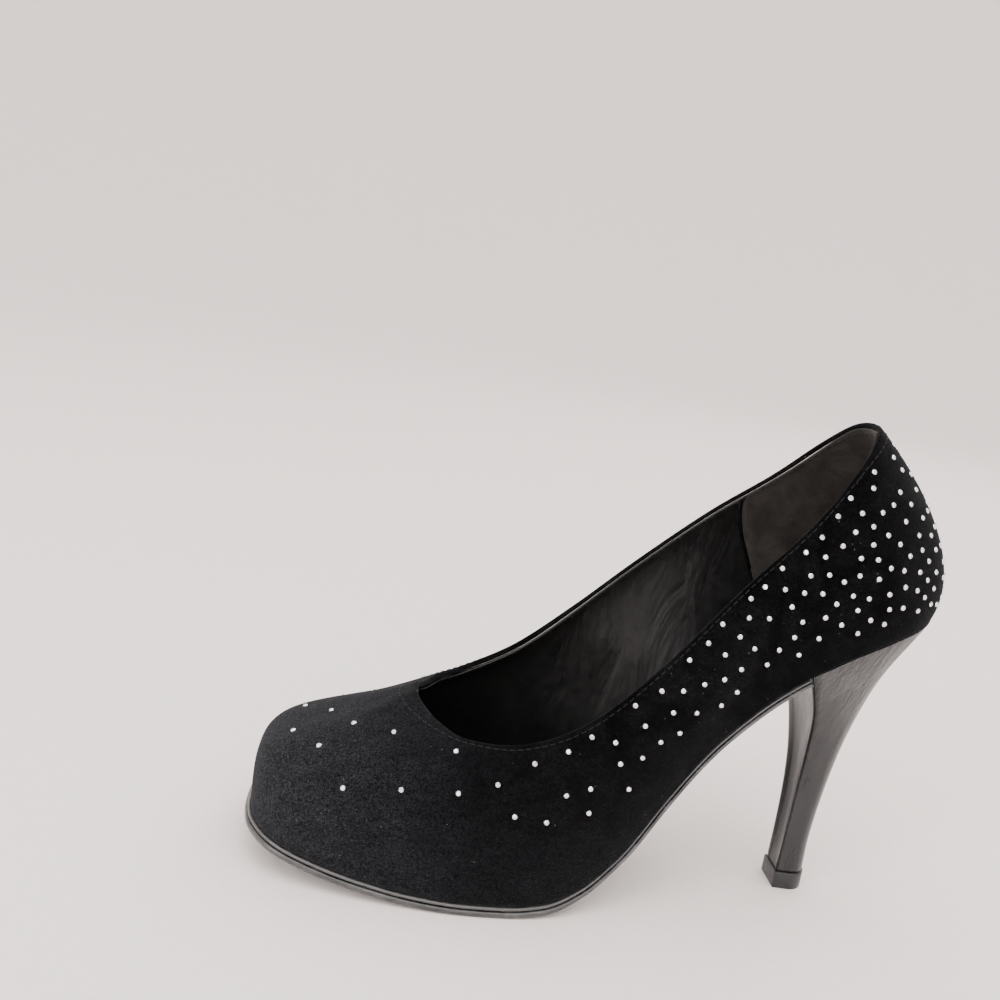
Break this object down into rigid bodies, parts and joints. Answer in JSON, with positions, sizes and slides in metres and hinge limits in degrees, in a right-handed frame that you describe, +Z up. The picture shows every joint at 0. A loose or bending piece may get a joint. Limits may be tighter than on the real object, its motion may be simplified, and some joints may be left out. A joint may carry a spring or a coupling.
{
  "type": "high heel pump",
  "caption": "Left high heel pump with a square toe, low-cut topline, hidden platform and slim curved heel; black suede upper over leather-covered heel.",
  "frame": {"origin": "middle of the shoe's bounding box, on the ground that it stands on", "axes": "+X towards the toe, +Y towards the outer side of the foot, +Z up"},
  "size_m": [0.224, 0.082, 0.1682],
  "materials": {
    "upper_suede": "black suede with a short nap, matte, set with small clear crystals",
    "lining_suede": "dark grey-brown suede, matte",
    "lining_leather": "smooth black leather with a soft sheen and fine creases",
    "sock_leather": "black leather sock, low sheen",
    "outsole_edge": "black sole with a waxed, polished edge",
    "sole_leather": "black leatherboard, satin edge",
    "platform_foam": "light cork platform",
    "fibreboard": "brown fibreboard",
    "cork_filler": "cork sheet",
    "sock_foam": "latex foam sheet",
    "stiffener": "impregnated stiffener cloth",
    "tape": "woven nylon reinforcing tape",
    "heel_plastic": "moulded plastic heel block",
    "heel_leather": "glossy black leather wrap, fine grain",
    "lift_rubber": "hard black top piece, satin",
    "steel": "plain steel",
    "crystal": "small faceted clear crystals with a silvered back",
    "thread": "black sewing thread"
  },
  "bodies": {
    "root": {"outsole": "outsole_edge", "midsole": "sole_leather", "platform": "platform_foam", "shank_board": "fibreboard", "insole_board": "fibreboard", "sock_foam": "sock_foam", "sock_lining": "sock_leather", "bottom_filler": "cork_filler", "steel_shank": "steel", "shank_rivet_1": "steel", "shank_rivet_2": "steel", "upper": "upper_suede", "heel_counter": "stiffener", "toe_puff": "stiffener", "topline_tape": "tape", "back_seam_tape": "tape", "heel_lining": "lining_suede", "vamp_lining": "lining_leather", "heel_core": "heel_plastic", "heel_tube": "steel", "heel_cover": "heel_leather", "heel_breast_cover": "heel_leather", "top_lift": "lift_rubber", "top_lift_pin": "steel", "heel_washer": "steel", "heel_screw": "steel", "heel_nail_1": "steel", "heel_nail_2": "steel", "heel_nail_3": "steel", "heel_nail_4": "steel", "heel_nail_5": "steel"}
  },
  "joints": []
}
